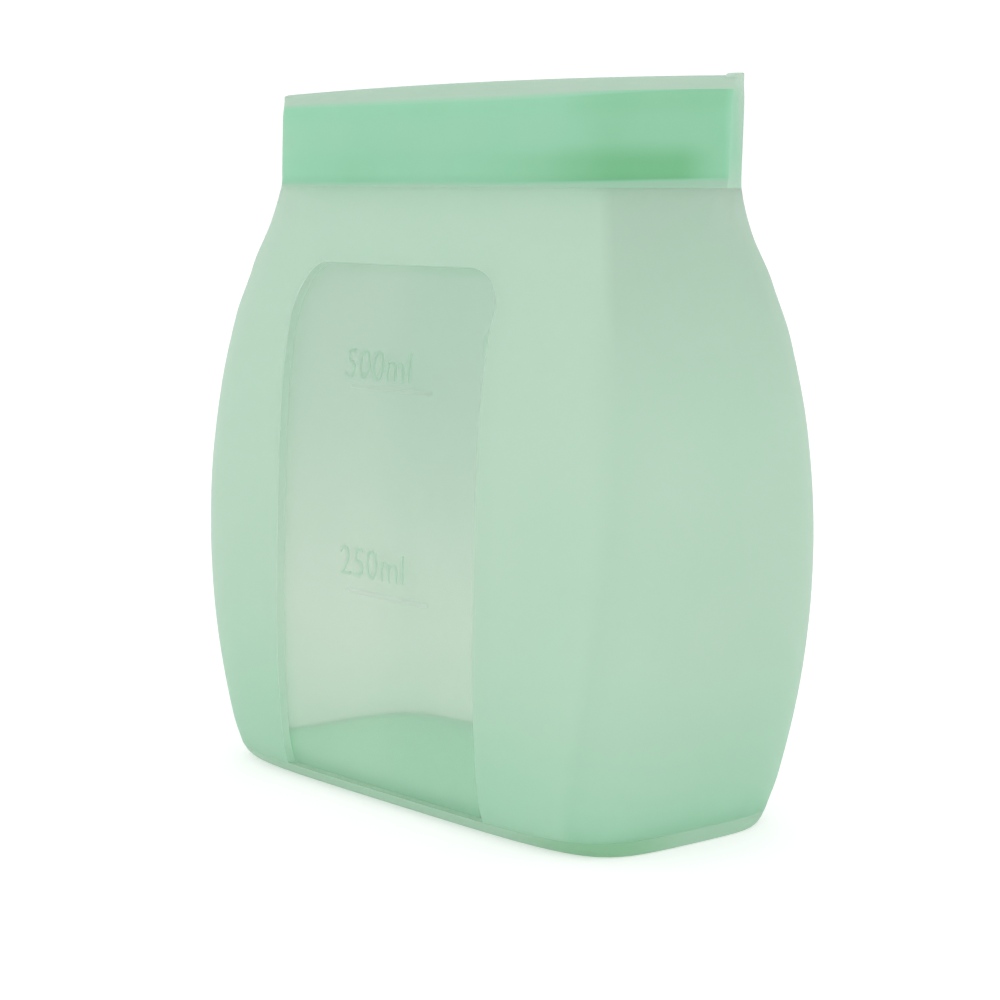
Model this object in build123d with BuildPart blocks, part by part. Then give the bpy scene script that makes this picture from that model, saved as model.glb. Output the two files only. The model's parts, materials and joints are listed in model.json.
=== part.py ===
from build123d import *
import os
from math import atan2, degrees, hypot

# Stand-up storage bag, moulded from soft translucent silicone, mouth pressed shut.
# Millimetres. +Z is up, the bag's width runs along X and its front faces -Y.
# The origin is the centre of the underside, on the table.
#
# The foot, floor, walls, window and the bonded blocks at the ends of the mouth stay still.
# The front shoulder, band, rails and lip swing forward as one, and the back ones swing back.

# ---- driving dimensions ----
wall = 1.8                  # skin thickness, measured square to the skin
floor_thickness = 3.0
foot_height = 3.8           # the rim under the walls
foot_width = 5.0            # how far the rim reaches in from the outline of the underside
hinge_height = 103.0        # where the walls end and the shoulders begin
band_bottom = 117.0         # foot of the press-shut band
band_top = 132.8            # top of the band, where the thin lips start
lip_top = 135.5
band_half_depth = 2.5       # from the parting plane to the outside of the band
lip_half_depth = 1.1
mouth_half_width = 65.7
block_width = 2.4           # length of the bonded block at each end of the mouth
block_rise = 0.5            # how far each block stands above the lips
block_rounding = 0.8
end_gap = 0.1               # clearance between the swinging parts and the blocks
parting_gap = 0.05          # clearance from the parting plane to each closed half
side_wall_start = 48.0      # the front and back walls reach to here from the middle

# window in the front wall
window_half_width = 30.5
window_top = 102.0
window_corner_radius = 10.0

# volume marks, raised on the window
mark_relief = 0.4
mark_names = ("250ml", "500ml")
mark_line_heights = (41.0, 79.5)
mark_line_length = 24.0
mark_line_thickness = 0.8
mark_line_centre = 5.5
text_left = -10.8           # where each text starts
text_rise = 2.8             # from a line up to the foot of its text
text_unit = 1.1             # size of one step of the glyph grid
text_stroke = 0.8
text_spacing = 1.5          # grid steps between glyphs

# glyphs as strokes on a grid: width, then the corner points of each stroke
glyphs = {
    "2": (3, [[(0, 4), (1, 5), (2, 5), (3, 4), (3, 3), (0, 0), (3, 0)]]),
    "5": (3, [[(3, 5), (0, 5), (0, 3), (2, 3), (3, 2), (3, 1), (2, 0), (0, 0)]]),
    "0": (3, [[(0, 1), (0, 4), (1, 5), (2, 5), (3, 4), (3, 1), (2, 0), (1, 0), (0, 1)]]),
    "m": (4, [[(0, 0), (0, 3), (2, 3), (2, 0)], [(2, 3), (4, 3), (4, 0)]]),
    "l": (0.5, [[(0, 5), (0, 0), (0.5, 0)]]),
}

# press-shut profile: two rails on the front half enter two grooves in the back half
plate_depth = 1.5           # depth of the strip that carries the rails or the grooves
rail_heights = (121.0, 129.4)
rail_root = 1.8             # thickness of a rail where it leaves its strip
rail_tip = 1.2
rail_length = 1.0           # how far a rail stands out of its strip
groove_clearance = 0.25
lip_rounding = 0.4

# Stations of the outer skin: height, half width, half depth, fullness of the corners.
# Fullness is the handle length of a quarter curve: 0.55 gives an ellipse, 1.0 nearly a rectangle.
stations = [
    (0.0, 57.7, 24.0, 1.00),
    (3.0, 58.1, 26.6, 1.00),
    (9.0, 60.0, 27.9, 1.00),
    (30.0, 66.1, 28.9, 0.98),
    (55.0, 72.0, 28.6, 0.89),
    (75.0, 74.4, 27.9, 0.76),
    (90.0, 73.0, 25.4, 0.69),
    (100.0, 70.5, 21.1, 0.66),
    (108.0, 67.9, 14.8, 0.67),
    (114.0, 66.5, 8.6, 0.74),
    (band_bottom, mouth_half_width, band_half_depth, 0.92),
]
reach = 200.0               # longer than the bag in any direction
swing_half_width = mouth_half_width - block_width - end_gap


def outline(height, half_width, half_depth, fullness):
    """Level face whose rounded outline is one quarter curve, mirrored both ways."""
    with BuildSketch(Plane.XY.offset(height)) as section:
        with BuildLine():
            Bezier(
                (half_width, 0),
                (half_width, fullness * half_depth),
                (fullness * half_width, half_depth),
                (0, half_depth),
            )
            mirror(about=Plane.YZ)
            mirror(about=Plane.XZ)
        make_face()
    return section.sketch


def moved_stations(distance):
    """The stations moved square to the skin: outwards for a positive distance."""
    moved = []
    for index, (height, half_width, half_depth, fullness) in enumerate(stations):
        below = stations[max(index - 1, 0)]
        above = stations[min(index + 1, len(stations) - 1)]
        rise = above[0] - below[0]
        flare = above[2] - below[2]
        slant = hypot(rise, flare)
        moved.append((
            height - distance * flare / slant,
            half_width + distance,
            half_depth + distance * rise / slant,
            fullness,
        ))
    return moved


def zone(x_range, y_range, z_range):
    """Box between pairs of coordinates, for cutting a part out of the skin."""
    with BuildPart(Plane.XY.offset(z_range[0])) as box:
        with Locations(((x_range[0] + x_range[1]) / 2, (y_range[0] + y_range[1]) / 2)):
            Box(
                x_range[1] - x_range[0],
                y_range[1] - y_range[0],
                z_range[1] - z_range[0],
                align=(Align.CENTER, Align.CENTER, Align.MIN),
            )
    return box.part


# ---- the skin, from which the soft parts are cut ----
with BuildPart() as outer_form:
    for station in stations:
        add(outline(*station))
    loft()

with BuildPart() as cavity:
    for station in moved_stations(-wall):
        add(outline(*station))
    loft()
    add(zone((-reach, reach), (-reach, reach), (floor_thickness, reach)), mode=Mode.INTERSECT)

with BuildPart() as mark_form:
    for station in moved_stations(mark_relief):
        add(outline(*station))
    loft()
    add(outer_form.part, mode=Mode.SUBTRACT)

with BuildPart() as skin:
    add(outer_form.part)
    add(cavity.part, mode=Mode.SUBTRACT)

with BuildPart() as floor_plug:
    add(outline(0, stations[0][1] - foot_width, stations[0][2] - foot_width, stations[0][3]))
    extrude(amount=floor_thickness)

with BuildPart() as window_form:
    with BuildSketch(Plane.XZ) as window_outline:
        with Locations((0, foot_height)):
            Rectangle(
                2 * window_half_width,
                window_top - foot_height,
                align=(Align.CENTER, Align.MIN),
            )
        fillet(window_outline.vertices().group_by(Axis.Y)[-1], window_corner_radius)
    extrude(amount=reach)

# ---- foot and floor ----
with BuildPart() as base_floor:
    add(floor_plug.part)
base_floor.part.label = "base_floor"

with BuildPart() as foot_rim:
    add(skin.part)
    add(zone((-reach, reach), (-reach, reach), (0, foot_height)), mode=Mode.INTERSECT)
    add(floor_plug.part, mode=Mode.SUBTRACT)
foot_rim.part.label = "foot_rim"

# ---- walls and window ----
with BuildPart() as front_wall:
    add(skin.part)
    add(
        zone((-side_wall_start, side_wall_start), (-reach, 0), (foot_height, hinge_height)),
        mode=Mode.INTERSECT,
    )
    add(window_form.part, mode=Mode.SUBTRACT)
front_wall.part.label = "front_wall"

with BuildPart() as window_panel:
    add(skin.part)
    add(window_form.part, mode=Mode.INTERSECT)
window_panel.part.label = "window_panel"

with BuildPart() as back_wall:
    add(skin.part)
    add(
        zone((-side_wall_start, side_wall_start), (0, reach), (foot_height, hinge_height)),
        mode=Mode.INTERSECT,
    )
back_wall.part.label = "back_wall"

with BuildPart() as side_zone:
    add(zone((side_wall_start, reach), (-reach, reach), (foot_height, hinge_height)))
    add(zone((mouth_half_width - block_width, reach), (-reach, reach), (foot_height, band_bottom)))

with BuildPart() as right_side_wall:
    add(skin.part)
    add(side_zone.part, mode=Mode.INTERSECT)
right_side_wall.part.label = "right_side_wall"

with BuildPart() as left_side_wall:
    mirror(right_side_wall.part, about=Plane.YZ)
left_side_wall.part.label = "left_side_wall"

# ---- bonded blocks at the ends of the mouth ----
with BuildPart() as right_end_block:
    with BuildSketch(Plane.XY.offset(band_bottom)):
        with Locations((mouth_half_width, 0)):
            Rectangle(block_width, 2 * band_half_depth, align=(Align.MAX, Align.CENTER))
    extrude(amount=lip_top + block_rise - band_bottom)
    fillet(right_end_block.edges().group_by(Axis.Z)[-1], block_rounding)
right_end_block.part.label = "right_end_block"

with BuildPart() as left_end_block:
    mirror(right_end_block.part, about=Plane.YZ)
left_end_block.part.label = "left_end_block"

# ---- volume marks ----
with BuildPart() as volume_lines:
    with BuildSketch(Plane.XZ):
        for height in mark_line_heights:
            with Locations((mark_line_centre, height)):
                Rectangle(mark_line_length, mark_line_thickness)
    extrude(amount=reach)
    add(mark_form.part, mode=Mode.INTERSECT)
volume_lines.part.label = "volume_lines"

with BuildPart() as volume_numerals:
    with BuildSketch(Plane.XZ):
        for name, height in zip(mark_names, mark_line_heights):
            left = text_left
            for letter in name:
                width, strokes = glyphs[letter]
                for stroke in strokes:
                    corners = [
                        (left + text_unit * x, height + text_rise + text_unit * z)
                        for x, z in stroke
                    ]
                    for start, end in zip(corners, corners[1:]):
                        run = end[0] - start[0]
                        rise = end[1] - start[1]
                        with Locations(((start[0] + end[0]) / 2, (start[1] + end[1]) / 2)):
                            SlotCenterToCenter(
                                hypot(run, rise),
                                text_stroke,
                                rotation=degrees(atan2(rise, run)),
                            )
                left += text_unit * (width + text_spacing)
    extrude(amount=reach)
    add(mark_form.part, mode=Mode.INTERSECT)
volume_numerals.part.label = "volume_numerals"


# ---- the two swinging halves of the mouth ----
def shoulder(y_range):
    """The skin above the walls on one side of the parting plane, between the end blocks."""
    with BuildPart() as half:
        add(skin.part)
        add(
            zone((-swing_half_width, swing_half_width), y_range, (hinge_height, band_bottom)),
            mode=Mode.INTERSECT,
        )
    return half.part


with BuildPart() as front_shoulder:
    add(shoulder((-reach, -parting_gap)))
front_shoulder.part.label = "front_shoulder"

with BuildPart() as back_shoulder:
    add(shoulder((parting_gap, reach)))
back_shoulder.part.label = "back_shoulder"

plate_face = parting_gap + plate_depth

with BuildPart() as front_band:
    add(zone(
        (-swing_half_width, swing_half_width),
        (-band_half_depth, -plate_face),
        (band_bottom, band_top),
    ))
front_band.part.label = "front_band"

with BuildPart() as back_band:
    mirror(front_band.part, about=Plane.XZ)
back_band.part.label = "back_band"

# profiles across the mouth are drawn with Y to the right and Z up, then run along X
across = Plane(origin=(-swing_half_width, 0, 0), x_dir=(0, 1, 0), z_dir=(1, 0, 0))

with BuildPart() as front_seal_rails:
    with BuildSketch(across):
        with Locations((-plate_face, band_bottom)):
            Rectangle(plate_depth, band_top - band_bottom, align=(Align.MIN, Align.MIN))
        for height in rail_heights:
            with BuildLine():
                Polyline(
                    (-parting_gap, height - rail_root / 2),
                    (-parting_gap + rail_length, height - rail_tip / 2),
                    (-parting_gap + rail_length, height + rail_tip / 2),
                    (-parting_gap, height + rail_root / 2),
                    close=True,
                )
            make_face()
    extrude(amount=2 * swing_half_width)
front_seal_rails.part.label = "front_seal_rails"

groove_root = rail_root + 2 * groove_clearance
groove_tip = rail_tip + 2 * groove_clearance
groove_floor = parting_gap + rail_length + groove_clearance

with BuildPart() as back_seal_track:
    with BuildSketch(across):
        with Locations((parting_gap, band_bottom)):
            Rectangle(plate_depth, band_top - band_bottom, align=(Align.MIN, Align.MIN))
        for height in rail_heights:
            with BuildLine():
                Polyline(
                    (parting_gap, height - groove_root / 2),
                    (groove_floor, height - groove_tip / 2),
                    (groove_floor, height + groove_tip / 2),
                    (parting_gap, height + groove_root / 2),
                    close=True,
                )
            make_face(mode=Mode.SUBTRACT)
    extrude(amount=2 * swing_half_width)
back_seal_track.part.label = "back_seal_track"

with BuildPart() as front_lip:
    add(zone(
        (-swing_half_width, swing_half_width),
        (-lip_half_depth, -parting_gap),
        (band_top, lip_top),
    ))
    fillet(front_lip.edges().filter_by(Axis.X).group_by(Axis.Z)[-1], lip_rounding)
front_lip.part.label = "front_lip"

with BuildPart() as back_lip:
    mirror(front_lip.part, about=Plane.XZ)
back_lip.part.label = "back_lip"

# ---- write one file per part ----
os.makedirs("parts", exist_ok=True)
export_step(base_floor.part, "parts/base_floor.step")
export_step(foot_rim.part, "parts/foot_rim.step")
export_step(front_wall.part, "parts/front_wall.step")
export_step(window_panel.part, "parts/window_panel.step")
export_step(back_wall.part, "parts/back_wall.step")
export_step(right_side_wall.part, "parts/right_side_wall.step")
export_step(left_side_wall.part, "parts/left_side_wall.step")
export_step(right_end_block.part, "parts/right_end_block.step")
export_step(left_end_block.part, "parts/left_end_block.step")
export_step(volume_lines.part, "parts/volume_lines.step")
export_step(volume_numerals.part, "parts/volume_numerals.step")
export_step(front_shoulder.part, "parts/front_shoulder.step")
export_step(back_shoulder.part, "parts/back_shoulder.step")
export_step(front_band.part, "parts/front_band.step")
export_step(back_band.part, "parts/back_band.step")
export_step(front_seal_rails.part, "parts/front_seal_rails.step")
export_step(back_seal_track.part, "parts/back_seal_track.step")
export_step(front_lip.part, "parts/front_lip.step")
export_step(back_lip.part, "parts/back_lip.step")
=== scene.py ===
import json
import math

import bmesh
import bpy
import numpy as np
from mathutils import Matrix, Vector

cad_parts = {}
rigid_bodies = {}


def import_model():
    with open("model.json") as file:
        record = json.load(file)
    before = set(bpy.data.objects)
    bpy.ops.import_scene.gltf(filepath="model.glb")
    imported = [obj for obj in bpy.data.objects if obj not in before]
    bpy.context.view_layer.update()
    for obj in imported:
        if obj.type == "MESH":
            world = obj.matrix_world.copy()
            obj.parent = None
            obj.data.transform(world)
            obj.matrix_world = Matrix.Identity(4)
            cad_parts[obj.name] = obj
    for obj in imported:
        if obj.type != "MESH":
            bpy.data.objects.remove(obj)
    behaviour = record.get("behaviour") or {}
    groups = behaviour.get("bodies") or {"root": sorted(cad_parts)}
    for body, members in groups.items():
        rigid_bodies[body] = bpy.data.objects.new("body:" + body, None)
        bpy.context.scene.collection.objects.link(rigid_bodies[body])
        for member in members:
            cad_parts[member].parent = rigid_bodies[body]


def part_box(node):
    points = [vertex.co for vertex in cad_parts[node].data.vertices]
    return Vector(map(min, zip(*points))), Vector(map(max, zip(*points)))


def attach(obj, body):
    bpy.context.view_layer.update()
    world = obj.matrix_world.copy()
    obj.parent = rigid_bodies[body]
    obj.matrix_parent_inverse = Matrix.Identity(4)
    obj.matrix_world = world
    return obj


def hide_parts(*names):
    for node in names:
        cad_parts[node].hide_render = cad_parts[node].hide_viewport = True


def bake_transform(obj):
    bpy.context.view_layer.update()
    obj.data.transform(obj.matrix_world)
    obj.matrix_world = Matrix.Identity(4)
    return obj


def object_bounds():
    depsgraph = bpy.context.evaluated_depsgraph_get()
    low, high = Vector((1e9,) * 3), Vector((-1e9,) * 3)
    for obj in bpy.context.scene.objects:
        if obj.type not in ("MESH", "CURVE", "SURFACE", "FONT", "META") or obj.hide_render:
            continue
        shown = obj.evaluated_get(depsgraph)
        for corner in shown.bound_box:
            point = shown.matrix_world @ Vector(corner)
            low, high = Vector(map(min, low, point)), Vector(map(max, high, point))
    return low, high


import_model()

# A stand-up bag of translucent silicone. Metres. +Z up, width along X, front faces -Y.
cad_low, cad_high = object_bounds()
MM = 0.001

# ---- sizes, from the frame ----
floor_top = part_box("base_floor")[1].z            # also the top of the foot's outer edge, where the skin starts
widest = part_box("right_side_wall")[1].x           # half the width of the body
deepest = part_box("back_wall")[1].y                # half the depth of the body
hinge_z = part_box("front_shoulder")[0].z
band_low, band_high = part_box("front_band")
band_bottom, band_top = band_low.z, band_high.z
band_depth = -band_low.y                          # parting plane to the band's outside
plate_depth = -band_high.y                        # parting plane to the back of the rail strip
lip_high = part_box("front_lip")[1]
lip_top, gap = lip_high.z, -lip_high.y
block_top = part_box("right_end_block")[1].z
window_low, window_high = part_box("window_panel")
line_low, line_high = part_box("volume_lines")
text_low, text_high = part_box("volume_numerals")
rail_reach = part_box("front_seal_rails")[1].y      # how far the rails cross the parting plane

skin = 1.8 * MM
window_radius = 10 * MM
window_sink = 0.15 * MM     # how far the window's face lies below the skin around it
join_gap = 0.03 * MM        # kept between the window and what it meets, so that their faces never coincide
relief = 0.25 * MM          # how far lines and numerals stand out of the window
mouth_share = 0.906         # half the length of the mouth, to the outside of its ends, as a share of widest
mouth_reach = mouth_share * widest
band_end = mouth_reach - 1.4 * MM
arch = 0.05                 # share by which the mouth is taller in its middle than at its ends
seam_z = band_bottom - 0.8 * MM     # where skin ends and mouth begins
lip_edge = lip_top - 0.4 * MM

# Outline stations: share of the height of the band's foot, share of the widest half width,
# share of the deepest half depth, and fullness of the corners (0.55 an ellipse, 1 a rectangle).
STATIONS = [
    (0.000, 0.775, 0.828, 1.00),
    (0.026, 0.780, 0.917, 1.00),
    (0.077, 0.806, 0.962, 1.00),
    (0.256, 0.888, 0.997, 0.98),
    (0.470, 0.962, 0.986, 0.89),
    (0.641, 0.993, 0.970, 0.75),
    (0.769, 0.976, 0.915, 0.66),
    (0.855, 0.947, 0.800, 0.60),
    (0.923, 0.914, 0.580, 0.60),
    (0.974, 0.904, 0.290, 0.71),
    (1.000, mouth_share, 0.086, 0.92),
]


def smooth_curve(xs, ys):
    """Monotone cubic through the points, level at the last of them, as a function of an array."""
    xs, ys = np.asarray(xs, float), np.asarray(ys, float)
    step = np.diff(xs)
    rate = np.diff(ys) / step
    slope = np.zeros_like(ys)
    same = rate[:-1] * rate[1:] > 0
    near, far = 2 * step[1:] + step[:-1], step[1:] + 2 * step[:-1]
    with np.errstate(divide="ignore", invalid="ignore"):
        blended = (near + far) / (near / rate[:-1] + far / rate[1:])
    slope[1:-1] = np.where(same, blended, 0)
    slope[0] = rate[0]

    def value(x):
        x = np.clip(x, xs[0], xs[-1])
        k = np.clip(np.searchsorted(xs, x, side="right") - 1, 0, len(xs) - 2)
        t = (x - xs[k]) / step[k]
        return (
            ys[k] * (1 + 2 * t) * (1 - t) ** 2
            + slope[k] * step[k] * t * (1 - t) ** 2
            + ys[k + 1] * t ** 2 * (3 - 2 * t)
            + slope[k + 1] * step[k] * t ** 2 * (t - 1)
        )
    return value


share, width_share, depth_share, fullness_rows = (np.array(c) for c in zip(*STATIONS))
half_width = smooth_curve(share * band_bottom, width_share * widest)
half_depth = smooth_curve(share * band_bottom, depth_share * deepest)
fullness = smooth_curve(share * band_bottom, fullness_rows)


def skin_point(turn, z):
    """Point of the outer skin's front half. turn runs from -1 at the left seam to 1 at the right."""
    a, b, k = half_width(z), half_depth(z), fullness(z)
    s = np.abs(turn)                     # 1 at the seams, 0 at the middle of the front
    t = 1 - s
    x = a * (s ** 3 + 3 * s ** 2 * t + 3 * s * t ** 2 * k)
    y = b * (3 * s ** 2 * t * k + 3 * s * t ** 2 + t ** 3)
    return np.stack([np.sign(turn) * x, -y, z + 0 * turn], axis=-1)


def front_depth(x, z):
    """How far the outer skin stands in front of the parting plane at points (x, z)."""
    low, high = np.zeros_like(x), np.ones_like(x)
    for _ in range(30):
        middle = (low + high) / 2
        short = skin_point(middle, z)[..., 0] < np.abs(x)
        low, high = np.where(short, middle, low), np.where(short, high, middle)
    return -skin_point((low + high) / 2, z)[..., 1]


# ---- mesh helpers ----
SEEN, HIDDEN, INSIDE = 0, 1, 2      # material slots: outer faces, joins that show nothing, inner faces


def new_piece(name, vertices, faces, slots=None):
    mesh = bpy.data.meshes.new(name)
    mesh.from_pydata([tuple(v) for v in vertices], [], faces)
    for _ in (SEEN, HIDDEN, INSIDE):
        mesh.materials.append(None)
    if slots is not None:
        mesh.polygons.foreach_set("material_index", slots)
    work = bmesh.new()
    work.from_mesh(mesh)
    bmesh.ops.recalc_face_normals(work, faces=work.faces)
    work.to_mesh(mesh)
    work.free()
    piece = bpy.data.objects.new(name, mesh)
    bpy.context.scene.collection.objects.link(piece)
    return piece


def shade(piece, angle=35):
    piece.data.shade_smooth()
    piece.data.set_sharp_from_angle(angle=math.radians(angle))
    return piece


def sheet_solid(name, outer, inner, rim=HIDDEN, lining=SEEN):
    """Closed solid between two grids of points of the same shape."""
    rows, columns = outer.shape[:2]
    total = rows * columns
    at = np.arange(total).reshape(rows, columns)
    quads = np.stack([at[:-1, :-1], at[1:, :-1], at[1:, 1:], at[:-1, 1:]], axis=-1).reshape(-1, 4)
    border = np.concatenate([at[0, :-1], at[:-1, -1], at[-1, :0:-1], at[:0:-1, 0]])
    beyond = np.roll(border, -1)
    edges = np.stack([beyond, border, border + total, beyond + total], axis=-1)
    faces = np.concatenate([quads, quads[:, ::-1] + total, edges])
    slots = np.repeat([SEEN, lining, rim], [len(quads), len(quads), len(edges)])
    vertices = np.concatenate([outer.reshape(-1, 3), inner.reshape(-1, 3)])
    return new_piece(name, vertices, faces.tolist(), slots)


def swept_solid(name, rings, closed_path=False, hidden=(), caps=SEEN):
    """Closed solid through rings of points. Its ends are capped unless the path closes.

    hidden lists the sides of the ring, by the point each starts from, that are joins.
    """
    count, size = rings.shape[:2]
    hidden = {j % size for j in hidden}
    faces, slots = [], []
    for i in range(count if closed_path else count - 1):
        here, there = i * size, (i + 1) % count * size
        for j in range(size):
            k = (j + 1) % size
            faces.append([here + j, there + j, there + k, here + k])
            slots.append(HIDDEN if j in hidden else SEEN)
    if not closed_path:
        faces.append(list(range(size)))
        faces.append(list(range((count - 1) * size, count * size))[::-1])
        slots += [caps, caps]
    return new_piece(name, rings.reshape(-1, 3), faces, slots)


def lean(piece):
    """The mouth stands a little to one side of the body: furthest at its foot, not at all at its top."""
    points = np.array([v.co for v in piece.data.vertices])
    rise = np.clip((points[:, 2] - 0.8 * band_bottom) / (0.2 * band_bottom), 0, 1)
    fall = np.clip((lip_edge - points[:, 2]) / (lip_edge - band_bottom), 0, 1)
    points[:, 0] -= 0.75 * MM * rise * rise * (3 - 2 * rise) * fall
    piece.data.vertices.foreach_set("co", points.astype(np.float32).ravel())
    piece.data.update()


def grid_normals(grid):
    normal = np.cross(np.gradient(grid, axis=0), np.gradient(grid, axis=1))
    return normal / np.maximum(np.linalg.norm(normal, axis=-1, keepdims=True), 1e-12)


def boolean(piece, cutter, operation):
    step = piece.modifiers.new("cut", "BOOLEAN")
    step.operation = operation
    step.solver = "EXACT"
    step.object = cutter
    graph = bpy.context.evaluated_depsgraph_get()
    mesh = bpy.data.meshes.new_from_object(piece.evaluated_get(graph))
    piece.modifiers.clear()
    piece.data = mesh


def mirrored(piece, name):
    """A copy with front and back swapped."""
    copy = bpy.data.objects.new(name, piece.data.copy())
    copy.data.name = name
    bpy.context.scene.collection.objects.link(copy)
    for vertex in copy.data.vertices:
        vertex.co.y *= -1
    copy.data.flip_normals()
    return copy


# ---- materials ----
def silicone(name, colours, tint, clear, depth=None, shadow=None, milk_share=0.2, roughness=0.45, grain=1.0,
             edge_on=0.4, shaded_tint=None):
    """Milky silicone: part light passing through, part glow, under a soft sheen.

    colours go from thin to thick silicone, tint is what passing light takes on at each face (a second tint
    where the depth is high, which on the window is painted shade), and clear the share that passes, which falls to
    a share of itself on faces seen edge on. depth(tree, place) returns the node output that says where the
    silicone is thick, from 0 to 1; on the skin and the window it carries painted shade as well. shadow(tree,
    place) returns the painted shade its colour is multiplied by. milk_share is the matt part of what doesn't pass;
    the rest glows with the light behind it.
    """
    material = bpy.data.materials.new(name)
    material.use_nodes = True
    tree = material.node_tree
    tree.nodes.clear()
    add, link = tree.nodes.new, tree.links.new
    place = add("ShaderNodeTexCoord").outputs["Object"]

    mottle = add("ShaderNodeTexNoise")
    mottle.inputs["Scale"].default_value = 35
    mottle.inputs["Detail"].default_value = 3
    link(place, mottle.inputs["Vector"])
    cloud = add("ShaderNodeMapRange")
    cloud.inputs["From Min"].default_value = 0.3
    cloud.inputs["From Max"].default_value = 0.7
    cloud.inputs["To Min"].default_value = -0.05
    cloud.inputs["To Max"].default_value = 0.05
    link(mottle.outputs["Fac"], cloud.inputs["Value"])
    # Depth input plus random tone; on the skin and the window the depth input carries painted shade as well.
    thick = add("ShaderNodeMath")
    thick.operation = "ADD"
    thick.use_clamp = True
    link(cloud.outputs["Result"], thick.inputs[0])
    if depth:
        link(depth(tree, place), thick.inputs[1])
    else:
        thick.inputs[1].default_value = 0.05
    body_colour = add("ShaderNodeValToRGB")
    stops = body_colour.color_ramp.elements
    while len(stops) < len(colours):
        stops.new(0.5)
    for i, colour in enumerate(colours):
        stops[i].position = i / (len(colours) - 1)
        stops[i].color = (*colour, 1)
    link(thick.outputs["Value"], body_colour.inputs["Fac"])
    colour = body_colour.outputs["Color"]
    if shadow:
        darker = add("ShaderNodeVectorMath")
        darker.operation = "SCALE"
        link(colour, darker.inputs[0])
        link(shadow(tree, place), darker.inputs["Scale"])
        colour = darker.outputs["Vector"]

    texture = add("ShaderNodeTexNoise")
    texture.inputs["Scale"].default_value = 1100
    texture.inputs["Detail"].default_value = 2
    link(place, texture.inputs["Vector"])
    bump = add("ShaderNodeBump")
    bump.inputs["Strength"].default_value = 0.05 * grain
    bump.inputs["Distance"].default_value = 0.0002
    link(texture.outputs["Fac"], bump.inputs["Height"])

    glow = add("ShaderNodeBsdfTranslucent")
    link(colour, glow.inputs["Color"])
    matt = add("ShaderNodeBsdfDiffuse")
    link(colour, matt.inputs["Color"])
    link(bump.outputs["Normal"], matt.inputs["Normal"])
    milk = add("ShaderNodeMixShader")
    milk.inputs["Fac"].default_value = milk_share
    link(glow.outputs["BSDF"], milk.inputs[1])
    link(matt.outputs["BSDF"], milk.inputs[2])
    through = add("ShaderNodeBsdfTransparent")
    through.inputs["Color"].default_value = (*tint, 1)
    # A darker tint for passing light where the depth is high; on the window it is painted shade.
    if shaded_tint:
        passed = add("ShaderNodeValToRGB")
        for stop, ends in zip(passed.color_ramp.elements, (tint, shaded_tint)):
            stop.color = (*ends, 1)
        link(thick.outputs["Value"], passed.inputs["Fac"])
        link(passed.outputs["Color"], through.inputs["Color"])
    facing = add("ShaderNodeLayerWeight")
    facing.inputs["Blend"].default_value = 0.35
    passing = add("ShaderNodeMapRange")
    passing.inputs["To Min"].default_value = clear
    passing.inputs["To Max"].default_value = clear * edge_on
    link(facing.outputs["Facing"], passing.inputs["Value"])
    body = add("ShaderNodeMixShader")
    link(passing.outputs["Result"], body.inputs["Fac"])
    link(milk.outputs["Shader"], body.inputs[1])
    link(through.outputs["BSDF"], body.inputs[2])
    sheen = add("ShaderNodeBsdfGlossy")
    sheen.inputs["Roughness"].default_value = roughness
    link(bump.outputs["Normal"], sheen.inputs["Normal"])
    rim = add("ShaderNodeFresnel")
    rim.inputs["IOR"].default_value = 1.41
    soft = add("ShaderNodeMath")
    soft.operation = "MULTIPLY"
    soft.inputs[1].default_value = 0.3
    link(rim.outputs["Fac"], soft.inputs[0])
    final = add("ShaderNodeMixShader")
    link(soft.outputs["Value"], final.inputs["Fac"])
    link(body.outputs["Shader"], final.inputs[1])
    link(sheen.outputs["BSDF"], final.inputs[2])
    link(final.outputs["Shader"], add("ShaderNodeOutputMaterial").inputs["Surface"])
    return material


def ramp_along(tree, place, axis, start, end, low=0.0, high=1.0):
    """Smooth step along an axis from low at start to high at end."""
    split = tree.nodes.new("ShaderNodeSeparateXYZ")
    tree.links.new(place, split.inputs[0])
    step = tree.nodes.new("ShaderNodeMapRange")
    step.interpolation_type = "SMOOTHSTEP"
    step.inputs["From Min"].default_value = min(start, end)
    step.inputs["From Max"].default_value = max(start, end)
    step.inputs["To Min"].default_value = low if start < end else high
    step.inputs["To Max"].default_value = high if start < end else low
    tree.links.new(split.outputs[axis], step.inputs["Value"])
    return step.outputs["Result"]


def combined(tree, operation, a, b):
    node = tree.nodes.new("ShaderNodeMath")
    node.operation = operation
    for socket, value in zip(node.inputs, (a, b)):
        if isinstance(value, (int, float)):
            socket.default_value = value
        else:
            tree.links.new(value, socket)
    return node.outputs["Value"]


def limited(tree, value, low):
    """The value kept between low and 1."""
    return combined(tree, "MINIMUM", combined(tree, "MAXIMUM", value, low), 1)


SIDE_TURN = (0.27, 0.43)    # from which share of a turn to the right a wall counts as side
FOLD_START = 30 * MM        # where the fold under the mouth meets the parting plane
FOLD_WIDTH = 4 * MM
FOLD_SPREAD = 1.2           # how far the fold moves out for each step away from the parting plane


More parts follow.
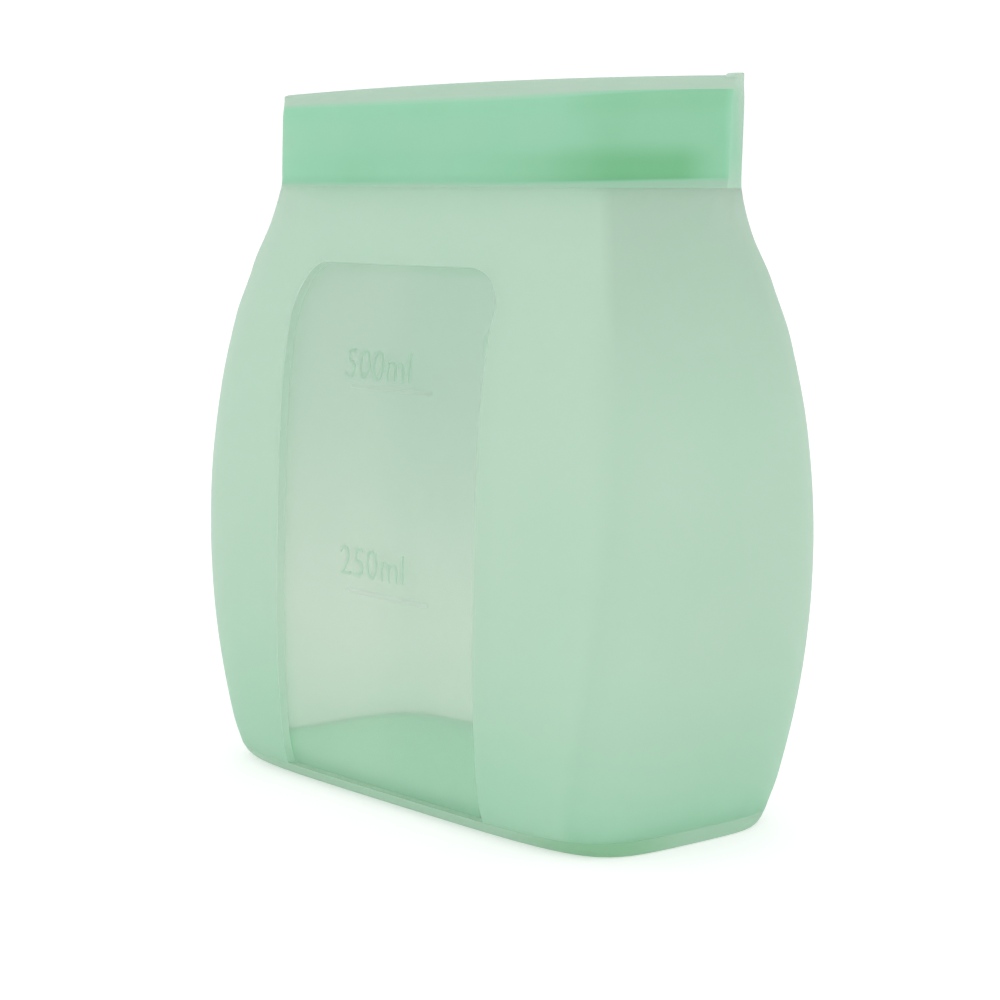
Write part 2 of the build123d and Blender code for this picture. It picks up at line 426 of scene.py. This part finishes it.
def skin_thickness_and_shade(tree, place):
    """The skin is thicker towards the foot, where painted glow from the floor adds to it, carries painted shade at
    the sides, most near the foot, and is thinner beside the right weld.
    """
    normal = tree.nodes.new("ShaderNodeTexCoord").outputs["Normal"]
    # Painted shade: walls turned to the right count as thicker and so come out deeper green; close makes this
    # strongest near the foot.
    side = ramp_along(tree, normal, "X", *SIDE_TURN)
    # Thicker silicone towards the foot, with painted glow of light from the floor in the same ramp.
    foot = ramp_along(tree, place, "Z", 38 * MM, 2 * MM, 0.06, 0.54)
    close = ramp_along(tree, place, "Z", 12 * MM, 1 * MM, 0.1, 0.6)
    end = ramp_along(tree, place, "X", mouth_reach - 4 * MM, mouth_reach - 3 * MM, 0, 0.09)
    weld = combined(tree, "MULTIPLY", end, ramp_along(tree, place, "Z", 0.88 * band_bottom, 0.95 * band_bottom))
    thick = combined(tree, "ADD", foot, combined(tree, "MULTIPLY", side, close))
    return combined(tree, "SUBTRACT", thick, weld)


def side_shadow(tree, place):
    """The sides are a little darker, most of all under the mouth, from a fold that runs straight up to it."""
    normal = tree.nodes.new("ShaderNodeTexCoord").outputs["Normal"]
    side = ramp_along(tree, normal, "X", *SIDE_TURN)
    split = tree.nodes.new("ShaderNodeSeparateXYZ")
    tree.links.new(place, split.inputs[0])
    away = combined(tree, "ABSOLUTE", split.outputs["Y"], 0)
    leaning = combined(tree, "SUBTRACT", split.outputs["X"], combined(tree, "MULTIPLY", away, FOLD_SPREAD))
    fold = combined(tree, "DIVIDE", combined(tree, "SUBTRACT", leaning, FOLD_START), FOLD_WIDTH)
    fold = limited(tree, fold, 0)
    above = ramp_along(tree, place, "Z", 0.62 * band_bottom, 0.78 * band_bottom)
    upper = combined(tree, "MULTIPLY", fold, above)
    high = ramp_along(tree, place, "Z", 0.6 * band_bottom, 0.95 * band_bottom, 0.035, 0.10)
    return combined(tree, "SUBTRACT", 1, combined(tree, "MULTIPLY", combined(tree, "MAXIMUM", side, upper), high))


def window_shade(tree, place):
    """Painted shade: the window is deepest in colour at its top right, where the inside behind it gets least
    light, and clearest low on its left; it is also greener towards the foot.
    """
    high = ramp_along(tree, place, "Z", 0.25 * band_bottom, 0.72 * band_bottom, 0, 0.65)
    right = ramp_along(tree, place, "X", -3 * MM, 12 * MM, 0.04, 0.22)
    foot = ramp_along(tree, place, "Z", 8 * MM, 4 * MM, 0, 0.3)
    return combined(tree, "ADD", combined(tree, "ADD", high, right), foot)


def foot_depth(tree, place):
    """The rim is deepest in colour at its front right corner."""
    return combined(tree, "MULTIPLY", ramp_along(tree, place, "X", 0.45 * widest, 0.75 * widest),
                    ramp_along(tree, place, "Y", 0, -0.6 * deepest))


def weld_depth(tree, place):
    """The welded ends are green between the band's top and foot, and pale above and below."""
    top = ramp_along(tree, place, "Z", band_top + 1.5 * MM, band_top - 1.5 * MM, 0, 0.36)
    foot = ramp_along(tree, place, "Z", seam_z, seam_z + 6 * MM, 0.45, 1)
    end = ramp_along(tree, place, "X", mouth_reach - 0.1 * MM, mouth_reach - 0.9 * MM, 0.2, 1)
    return combined(tree, "MULTIPLY", top, combined(tree, "MULTIPLY", foot, end))


def band_shadow(tree, place):
    """The band is a little darker along its foot and towards its right end."""
    low = ramp_along(tree, place, "Z", seam_z + 3.0 * MM, seam_z + 0.6 * MM, 0, 0.10)
    right = ramp_along(tree, place, "X", 0.1 * mouth_reach, 0.7 * mouth_reach, 0, 0.03)
    return combined(tree, "SUBTRACT", 1, combined(tree, "ADD", low, right))


def band_thickness(tree, place):
    """Rails and tracks inside the band show as greener zones, which fade at its edges."""
    rise = ramp_along(tree, place, "X", 0, mouth_reach, 0, 0.8 * MM)    # both edges rise to the right
    split = tree.nodes.new("ShaderNodeSeparateXYZ")
    tree.links.new(place, split.inputs[0])
    height = combined(tree, "SUBTRACT", split.outputs["Z"], rise)
    above = combined(tree, "SUBTRACT", height, seam_z)
    foot = limited(tree, combined(tree, "DIVIDE", above, 1.0 * MM), 0.3)
    below = combined(tree, "SUBTRACT", band_top + 0.8 * MM, height)
    top = limited(tree, combined(tree, "DIVIDE", below, 1.4 * MM), 0)
    left = ramp_along(tree, place, "X", -mouth_reach, 0.8 * MM - mouth_reach)
    right = ramp_along(tree, place, "X", mouth_reach - 1.0 * MM, mouth_reach - 3.5 * MM, 0.75, 1)
    inside = combined(tree, "MULTIPLY", combined(tree, "MULTIPLY", foot, top),
                      combined(tree, "MULTIPLY", left, right))
    low_rail = ramp_along(tree, place, "Z", band_bottom + 8 * MM, band_bottom + 3.5 * MM, 0, 0.12)
    deeper = ramp_along(tree, place, "X", -0.15 * mouth_reach, mouth_reach * 0.7, 0.4, 2.4)
    fading = ramp_along(tree, place, "X", mouth_reach - 3 * MM, mouth_reach - 14 * MM)
    high_rail = ramp_along(tree, place, "Z", band_top - 5 * MM, band_top - 1.5 * MM, 0, 0.06)
    zones = combined(tree, "ADD", combined(tree, "MULTIPLY", combined(tree, "MULTIPLY", low_rail, deeper), fading),
                     high_rail)
    base = ramp_along(tree, place, "X", 0.05 * mouth_reach, 0.65 * mouth_reach, 0.45, 0.59)
    return combined(tree, "MULTIPLY", inside, combined(tree, "ADD", zones, base))


SKIN_COLOURS = ((0.815, 0.902, 0.838), (0.730, 0.893, 0.792), (0.640, 0.885, 0.745))
MOUTH_COLOURS = ((0.600, 0.760, 0.645), (0.405, 0.785, 0.555), (0.210, 0.610, 0.280))
FOOT_COLOURS = ((0.52, 0.73, 0.58), (0.38, 0.66, 0.44))
FLOOR_COLOURS = ((0.345, 0.89, 0.62),) * 2
LINE_COLOURS = ((0.90, 0.95, 0.91),) * 2
TINT = (0.96, 0.98, 0.97)
CLEAR_TINT = (1.0, 0.98, 0.965)
# Tint the window passes where it is painted as shaded, towards its top right.
WINDOW_SHADE_TINT = (0.845, 0.885, 0.86)
# The skin's depth ramp carries painted shade at the sides and painted floor glow towards the foot.
skin_look = silicone("silicone_skin", SKIN_COLOURS, TINT, 0.1, skin_thickness_and_shade, side_shadow)
lining_look = silicone("silicone_lining", SKIN_COLOURS, TINT, 0.1)
clear_look = silicone("silicone_clear", SKIN_COLOURS, CLEAR_TINT, 0.88, window_shade, roughness=0.5, grain=0.2,
                      edge_on=0.75, shaded_tint=WINDOW_SHADE_TINT)
line_look = silicone("silicone_line", LINE_COLOURS, (1, 1, 1), 0.85, roughness=0.5, grain=0.2, edge_on=0.95)
mark_look = silicone("silicone_mark", SKIN_COLOURS[1:], TINT, 0.62, roughness=0.5, grain=0.2, edge_on=0.9)
foot_look = silicone("silicone_foot", FOOT_COLOURS, TINT, 0.05, foot_depth, milk_share=0.6)
floor_thick_look = silicone("silicone_thick", FLOOR_COLOURS, TINT, 0.05, milk_share=0.6)
band_look = silicone("silicone_band", MOUTH_COLOURS, TINT, 0.03, band_thickness, band_shadow, milk_share=0.7)
rail_look = silicone("silicone_rail", MOUTH_COLOURS, TINT, 0.03, milk_share=0.7)
lip_look = silicone("silicone_lip", MOUTH_COLOURS, TINT, 0.05, milk_share=0.7)
weld_look = silicone("silicone_weld", MOUTH_COLOURS, TINT, 0.05, weld_depth, milk_share=0.7)

join_look = bpy.data.materials.new("silicone_join")
join_look.use_nodes = True
join_look.node_tree.nodes.clear()
join_clear = join_look.node_tree.nodes.new("ShaderNodeBsdfTransparent")
join_end = join_look.node_tree.nodes.new("ShaderNodeOutputMaterial")
join_look.node_tree.links.new(join_clear.outputs["BSDF"], join_end.inputs["Surface"])


def paint(material, slot, *painted):
    for piece in painted:
        while len(piece.data.materials) <= INSIDE:
            piece.data.materials.append(None)
        for index, look in ((SEEN, material), (HIDDEN, join_look), (INSIDE, lining_look)):
            piece.data.materials[index] = look


# ---- the mouth's opening: how much of the swing each point follows ----
BEND_START = hinge_z - 16 * MM


def swing(piece):
    """Bakes the piece's placement into its mesh; the share of the swing each point would follow, from none below
    the bend's start to all at the band's foot, is worked out but not used.
    """
    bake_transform(piece)
    points = np.array([v.co for v in piece.data.vertices])
    rise = np.clip((points[:, 2] - BEND_START) / (band_bottom - BEND_START), 0, 1)
    rise = rise * rise * (3 - 2 * rise)


# ---- skin and window ----
SKIN_TURNS = np.sin(np.linspace(-1, 1, 181) * math.pi / 2)
SKIN_HEIGHTS = np.linspace(floor_top, seam_z, 141)
MIDDLE = slice(60, 121)     # the columns of the skin that cover the window


def skin_grids(sink=0.0, columns=slice(None)):
    """Outer and inner grids of the front half of the skin, or of some of its columns."""
    turn, height = np.meshgrid(SKIN_TURNS, SKIN_HEIGHTS, indexing="ij")
    grid = skin_point(turn, height)
    normal = grid_normals(grid)
    normal[0, :, :2] = (-1, 0)
    normal[-1, :, :2] = (1, 0)
    normal[:, 0, 2] = normal[:, -1, 2] = 0
    fade = np.clip((height - SKIN_HEIGHTS[0]) / (5 * MM), 0, 1)[..., None]
    outer = grid - normal * sink * fade
    inner = grid - normal * skin
    inner[..., 1] = np.minimum(inner[..., 1], outer[..., 1] / 2)    # never across the parting plane
    inner[..., 2] = np.clip(inner[..., 2], SKIN_HEIGHTS[0], SKIN_HEIGHTS[-1])
    return outer[columns], inner[columns]


def window_prism(slot, inset):
    """Round-topped cutter that runs through the front wall. The faces it cuts take a material slot."""
    half, top, low = window_high.x - inset, window_high.z - inset, window_low.z - 5 * MM
    loop = []
    for side, across, down in ((1, window_radius, 0.8 * window_radius), (-1, 0.65 * window_radius, window_radius)):
        corner = []
        for angle in np.linspace(0, math.pi / 2, 25):
            corner.append((side * (half - across + across * math.cos(angle)), top - down + down * math.sin(angle)))
        corner = [(side * half, low)] + corner
        loop += corner[::side]
    rings = np.array([[(x, y, z) for x, z in loop] for y in (-2 * deepest, -5 * MM)])
    cutter = swept_solid("cutter", rings)
    cutter.data.polygons.foreach_set("material_index", [slot] * len(cutter.data.polygons))
    return cutter


front_skin = sheet_solid("front_skin", *skin_grids(), lining=INSIDE)
back_skin = mirrored(front_skin, "back_skin")
clear_window = sheet_solid("clear_window", *skin_grids(window_sink, MIDDLE))
for piece in (front_skin, back_skin):
    paint(skin_look, "silicone_skin", piece)
paint(clear_look, "silicone_clear", clear_window)
for piece, operation, cut_slot, inset in (
    (front_skin, "DIFFERENCE", SEEN, 0), (clear_window, "INTERSECT", HIDDEN, join_gap),
):
    cutter = window_prism(cut_slot, inset)
    boolean(piece, cutter, operation)
    bpy.data.objects.remove(cutter)
for piece in (front_skin, back_skin, clear_window):
    shade(piece)


# ---- foot and floor ----
def plan_ring(z, inset, count=240):
    """Closed outline at a height, moved in by a distance."""
    quarter = np.linspace(0, 1, count // 4, endpoint=False)
    turns = np.concatenate([quarter, 1 - quarter, -quarter, quarter - 1])
    ring = skin_point(turns, np.full_like(turns, z))
    ring[:, 1] *= np.repeat([1, -1, -1, 1], count // 4)
    ahead = np.roll(ring, -1, axis=0) - np.roll(ring, 1, axis=0)
    ahead /= np.linalg.norm(ahead, axis=1, keepdims=True)
    return ring + inset * np.stack([-ahead[:, 1], ahead[:, 0], 0 * ahead[:, 0]], axis=1)


rim_top = (floor_top - join_gap) / MM
FOOT_PROFILE = [  # inset from the outline and height in mm, going round the rim
    (1.0, 0.0), (0.5, 0.15), (0.2, 0.5), (0.05, 1.0), (0.0, 1.6), (0.0, rim_top), (1.85, rim_top),
    (1.9, 2.4), (3.4, 2.2), (5.0, 2.2), (5.0, 0.35), (3.5, 0.1), (2.5, 0.0),
]
foot_rings = np.array([plan_ring(z * MM, inset * MM) for inset, z in FOOT_PROFILE])
thick_foot = shade(swept_solid("thick_foot", foot_rings.transpose(1, 0, 2), closed_path=True), 50)

# The floor dips a little towards its middle.
shares = np.linspace(0.002, 1, 30)[:, None, None]
under = plan_ring(0, 5 * MM) * shares + (0, 0, 0.35 * MM)
above = plan_ring(floor_top, 1.9 * MM) * shares
above[..., 2] = floor_top - 0.5 * MM * (1 - shares[..., 0] ** 2)
thick_floor = swept_solid("thick_floor", np.concatenate([above, under[::-1]]))
shade(thick_floor, 50)
paint(foot_look, "silicone_thick", thick_foot)
paint(floor_thick_look, "silicone_thick", thick_floor)

# ---- mouth ----
ALONG = band_end * np.sin(np.linspace(-1, 1, 141) * math.pi / 2)
MOUTH_PROFILE = [  # height and share of the band's depth, from the skin up to the lip
    (seam_z, 1.0), (band_bottom + 1 * MM, 1.0), (band_bottom + 5 * MM, 1.0), (band_bottom + 9 * MM, 1.0),
    (band_top - 4 * MM, 1.0), (band_top - 2.5 * MM, 0.98), (band_top - 1.4 * MM, 0.9), (band_top - 0.6 * MM, 0.78),
    (band_top, 0.67), (band_top + 0.6 * MM, 0.56), (band_top + 1.2 * MM, 0.49), (lip_edge - 0.5 * MM, 0.46),
    (lip_edge - 0.15 * MM, 0.40), (lip_edge, 0.28),
]
SPREAD = mouth_reach * np.sin(np.linspace(0, 1, 80) * math.pi / 2)
mouth_plan = smooth_curve(SPREAD, front_depth(SPREAD, band_bottom))


def outside(x, z, share):
    """Depth of the mouth's outside at a distance along it and a height."""
    if z < band_bottom:
        return float(front_depth(np.array([x]), z)[0]) * share
    return float(mouth_plan(abs(x))) * share


def arched(x, z):
    """The mouth stands a little taller in its middle."""
    return z + max(0, z - band_bottom) * arch * (1 - (x / mouth_reach) ** 2)


def strip(name, profile, hidden=()):
    """Solid of one profile of (share of the mouth's depth, height), run along X."""
    rings = []
    for x in ALONG:
        rings.append([(x, -outside(x, z, share), arched(x, z)) for share, z in profile])
    return shade(swept_solid(name, np.array(rings), hidden=hidden, caps=HIDDEN), 40)


def depth_share(depth):
    return depth / band_depth


plate_share, gap_share = depth_share(plate_depth), depth_share(gap)
outer_rows = [(share, z) for z, share in MOUTH_PROFILE]
front_band = strip("outer_band_front", [(plate_share, seam_z)] + [r for r in outer_rows if r[1] <= band_top]
                   + [(plate_share - 0.02, band_top)], hidden=(0, -2, -1))
back_band = mirrored(front_band, "outer_band_back")
paint(band_look, "silicone_band", front_band, back_band)

rail_rows = (band_bottom + 4.0 * MM, band_bottom + 12.4 * MM)


def seal_profile(root, tip, reach):
    rows = [(plate_share, seam_z), (gap_share, seam_z)]
    for z in rail_rows:
        tip_share = depth_share(gap - reach)
        rows += [(gap_share, z - root), (tip_share, z - tip), (tip_share, z + tip), (gap_share, z + root)]
    return rows + [(gap_share, band_top), (plate_share, band_top)]


rails = strip("seal_rails", seal_profile(0.9 * MM, 0.6 * MM, rail_reach + gap))
track = strip("seal_track", seal_profile(1.15 * MM, 0.85 * MM, -(rail_reach + 0.25 * MM - gap)))
for vertex in track.data.vertices:
    vertex.co.y *= -1
track.data.flip_normals()
paint(rail_look, "silicone_band", rails, track)

front_lip = strip("pale_lip_front", [(gap_share, band_top)] + [r for r in outer_rows if r[1] >= band_top]
                  + [(gap_share + 0.08, lip_edge), (gap_share, lip_edge - 0.2 * MM)], hidden=(0,))
back_lip = mirrored(front_lip, "pale_lip_back")


def end_weld(name, side, top):
    """Rounded cap that bonds one end of the mouth, in one run with its outside."""
    steps = np.linspace(0, 1, 15)
    rows = [(z, share, band_end) for z, share in MOUTH_PROFILE if z < lip_edge - 0.6 * MM]
    rows += [(lip_edge - 0.4 * MM, 0.5, band_end), (lip_edge - 0.3 * MM, 0.5, band_end - 2 * MM),
             (top - 0.2 * MM, 0.50, band_end - 2 * MM), (top, 0.36, band_end - 1.7 * MM)]
    rings = []
    for z, share, start in rows:
        across = start + (mouth_reach - start) * np.sin(steps * math.pi / 2)
        depths = np.array([outside(x, z, share) for x in across])
        depths[-1] = 0
        shift = float(half_width(min(z, band_bottom))) - mouth_reach
        front = []
        for step, x, d in zip(steps, across, depths):
            rounding = 0.45 * MM * step ** 6 if z > lip_edge - 0.2 * MM else 0
            front.append((side * (x + shift * step), -d, z - rounding))
        rings.append(front + [(x, -y, z) for x, y, z in front[-2::-1]])
    return shade(swept_solid(name, np.array(rings), hidden=(-1,)), 40)


right_weld = end_weld("end_weld_right", 1, block_top - 0.45 * MM)
left_weld = end_weld("end_weld_left", -1, lip_edge - 0.1 * MM)
paint(lip_look, "silicone_lip", front_lip, back_lip)
paint(weld_look, "silicone_lip", right_weld, left_weld)


# ---- raised marks ----
def wrapped(name, piece, centre_x, centre_z):
    """Lays a flat mesh drawn in XY, with its thickness along Z, on the front of the window."""
    flat = np.array([v.co for v in piece.data.vertices])
    x, z = flat[:, 0] + centre_x, flat[:, 1] + centre_z
    depth = front_depth(x, z)
    step = 0.5 * MM
    slope = (front_depth(x, z + step) - depth) / step
    flare = (front_depth(np.abs(x) + step, z) - depth) / step * np.sign(x)
    normal = np.stack([-flare, -np.ones_like(x), -slope], axis=1)
    normal /= np.linalg.norm(normal, axis=1, keepdims=True)
    lift = flat[:, 2:3] - flat[:, 2].min() - window_sink - 0.03 * MM
    points = np.stack([x, -depth, z], axis=1) + normal * lift
    piece.data.vertices.foreach_set("co", points.astype(np.float32).ravel())
    piece.data.update()
    piece.name = name
    return piece


def flat_text(words, height):
    curve = bpy.data.curves.new("words", "FONT")
    curve.body = words
    curve.size = height
    curve.extrude = relief / 4
    curve.space_character = 1.05
    curve.align_x = "CENTER"
    drawn = bpy.data.objects.new("words", curve)
    objects = bpy.context.scene.collection.objects
    objects.link(drawn)
    graph = bpy.context.evaluated_depsgraph_get()
    mesh = bpy.data.meshes.new_from_object(drawn.evaluated_get(graph))
    bpy.data.objects.remove(drawn)
    work = bmesh.new()
    work.from_mesh(mesh)
    bmesh.ops.remove_doubles(work, verts=work.verts, dist=1e-6)     # joins the letters' faces to their sides
    work.to_mesh(mesh)
    work.free()
    solid = bpy.data.objects.new("words", mesh)
    objects.link(solid)
    return solid


def flat_bar(length, thickness):
    """Low bar with rounded ends and softened edges, in steps short enough to follow the window's curve."""
    radius, straight = thickness / 2, (length - thickness) / 2
    angles = np.linspace(math.pi / 2, 0.02 * math.pi, 8)
    right_end = [(straight + radius * math.cos(angle), radius * math.sin(angle)) for angle in angles]
    left_end = [(-x, half) for x, half in right_end[::-1]]
    between = [(x, radius) for x in np.linspace(-straight, straight, 33)[1:-1]]
    rings = []
    for x, half in left_end + between + right_end:
        crest = half * (1 - 0.15 * MM / radius)
        rings.append([(x, -half, 0), (x, -half, relief * 0.6), (x, -crest, relief),
                      (x, crest, relief), (x, half, relief * 0.6), (x, half, 0)])
    return swept_solid("bar", np.array(rings))


bar_thickness = 0.8 * MM
bar_length, bar_x = line_high.x - line_low.x, (line_high.x + line_low.x) / 2
text_x = (text_low.x + text_high.x) / 2
text_height = 5.5 * MM
capital_share = 0.7         # a capital's share of the font's size
MARKS = [  # text, height of its line, how far the text stands to the right of centre and above the line
    ("250ml", line_low.z + bar_thickness / 2, 0.9 * MM, 2.9 * MM),
    ("500ml", line_high.z - bar_thickness / 2, 1.5 * MM, 1.5 * MM),
]
marks = []
for label, row, shift, rise in MARKS:
    bar = wrapped("raised_line_" + label, flat_bar(bar_length, bar_thickness), bar_x, row)
    text = flat_text(label, text_height / capital_share)
    text = wrapped("raised_text_" + label, text, text_x + shift, row + rise)
    marks += [shade(bar), shade(text, 30)]
lines, numerals = marks[::2], marks[1::2]
paint(line_look, "silicone_clear", *lines)
paint(mark_look, "silicone_clear", *numerals)

for piece in (front_skin, back_skin, clear_window, front_band, back_band, rails, track, front_lip, back_lip,
              right_weld, left_weld):
    lean(piece)

# ---- what rides on what ----
for piece in (front_skin, clear_window, front_band, rails, front_lip, *marks):
    swing(piece)
for piece in (back_skin, back_band, track, back_lip):
    swing(piece)
for piece in (thick_foot, thick_floor, left_weld, right_weld):
    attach(piece, "pouch")
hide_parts("front_wall", "front_shoulder", "right_side_wall", "left_side_wall")
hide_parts("back_wall", "back_shoulder")
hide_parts("window_panel")
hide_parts("foot_rim")
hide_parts("base_floor")
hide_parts("front_band")
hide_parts("back_band")
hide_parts("front_seal_rails")
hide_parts("back_seal_track")
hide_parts("front_lip")
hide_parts("back_lip")
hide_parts("right_end_block")
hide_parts("left_end_block")
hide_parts("volume_lines")
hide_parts("volume_numerals")

# ---- floor, light and camera ----
bpy.ops.mesh.primitive_plane_add(size=8, location=(0, 0, cad_low.z))
floor = bpy.context.object
floor.name = "studio_floor"
floor_look = bpy.data.materials.new("studio_floor")
floor_look.use_nodes = True
floor_shader = floor_look.node_tree.nodes["Principled BSDF"]
floor_shader.inputs["Base Color"].default_value = (0.62, 0.62, 0.62, 1)
floor_shader.inputs["Roughness"].default_value = 0.9
floor_shader.inputs["Emission Color"].default_value = (1, 1, 1, 1)
floor_shader.inputs["Emission Strength"].default_value = 0.45
floor.data.materials.append(floor_look)

world = bpy.data.worlds.new("studio")
bpy.context.scene.world = world
world.use_nodes = True
world.node_tree.nodes["Background"].inputs["Color"].default_value = (1, 1, 1, 1)
world.node_tree.nodes["Background"].inputs["Strength"].default_value = 1.09


def soft_light(name, place, size, power):
    lamp = bpy.data.lights.new(name, "AREA")
    lamp.size = size
    lamp.energy = power
    source = bpy.data.objects.new(name, lamp)
    source.location = place
    aim = Vector((0, 0, (cad_low.z + cad_high.z) / 2)) - Vector(place)
    source.rotation_mode = "QUATERNION"
    source.rotation_quaternion = aim.to_track_quat("-Z", "Y")
    bpy.context.scene.collection.objects.link(source)


soft_light("key", (1.2, -1.3, 1.5), 2.0, 2)

CAMERA_TURN = math.radians(50.33)
CAMERA_DROP = math.radians(7.23)
CAMERA_DISTANCE = 0.4852
AIM_HEIGHT = 0.0563
AIM_RIGHT = 0.00195
camera_data = bpy.data.cameras.new("camera")
camera_data.sensor_width = 36
camera_data.lens = 90.5
camera = bpy.data.objects.new("camera", camera_data)
right = Vector((math.cos(CAMERA_TURN), math.sin(CAMERA_TURN), 0))
level = Vector((-math.sin(CAMERA_TURN), math.cos(CAMERA_TURN), 0))
look = level * math.cos(CAMERA_DROP) - Vector((0, 0, 1)) * math.sin(CAMERA_DROP)
camera.location = right * AIM_RIGHT + Vector((0, 0, AIM_HEIGHT)) - look * CAMERA_DISTANCE
camera.rotation_mode = "QUATERNION"
camera.rotation_quaternion = look.to_track_quat("-Z", "Y")
bpy.context.scene.collection.objects.link(camera)
bpy.context.scene.camera = camera
bpy.context.scene.view_settings.view_transform = "Standard"
bpy.context.scene.cycles.transparent_max_bounces = 32
bpy.context.scene.cycles.diffuse_bounces = 8
